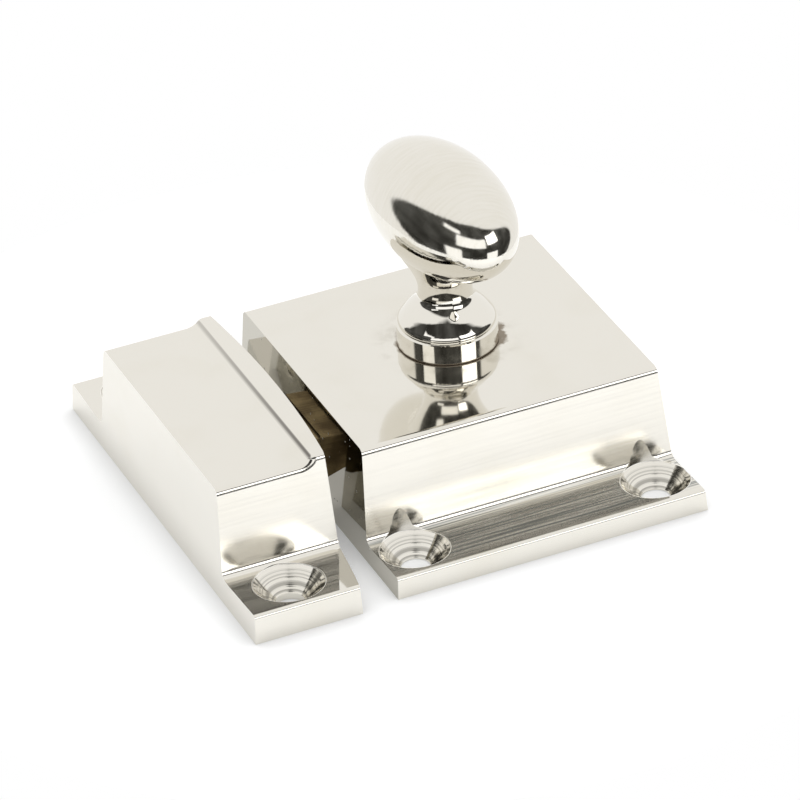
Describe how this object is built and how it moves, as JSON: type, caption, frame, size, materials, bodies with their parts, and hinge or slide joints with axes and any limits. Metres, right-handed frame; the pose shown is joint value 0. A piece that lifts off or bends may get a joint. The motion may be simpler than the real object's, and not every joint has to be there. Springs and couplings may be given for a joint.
{
  "type": "cupboard catch latch",
  "caption": "Surface-mounted cupboard catch: a box case with a spring bolt drawn back by an egg-shaped turn knob, and a keep with a curved striking lip.",
  "frame": {"origin": "middle of the overall outline, on the plane that the keep and the case are screwed to", "axes": "+Z away from the mounting plane, +X from the keep to the case, against the bolt's throw, +Y along the length of both castings"},
  "size_m": [0.0612, 0.0602, 0.0418],
  "materials": {
    "nickel": "polished nickel plate on cast brass",
    "brass": "aged bare brass",
    "steel": "plain steel",
    "spring_steel": "drawn spring wire"
  },
  "bodies": {
    "castings": {"keep": "nickel", "case": "nickel", "bolt_spring": "spring_steel", "bolt_strap": "brass", "strap_screws": "steel"},
    "knob": {"knob": "nickel", "cam": "brass", "cam_washer": "steel", "cam_screw": "steel"},
    "bolt": {"bolt": "brass"}
  },
  "joints": [
    {"name": "knob_turn", "type": "hinge", "parent": "castings", "child": "knob", "pos_m": [0.00929, 0, 0.015], "axis": [0, 0, 1], "range_deg": [0, 50]},
    {"name": "bolt_slide", "type": "slide", "parent": "castings", "child": "bolt", "axis": [1, 0, 0], "range_m": [0, 0.005], "stiffness_N_per_m": 200, "springref_m": -0.005, "deforming": ["bolt_spring"]}
  ],
  "couplings": [
    {"joint": "knob_turn", "follows": "bolt_slide", "rad_per_m": 174.52}
  ]
}
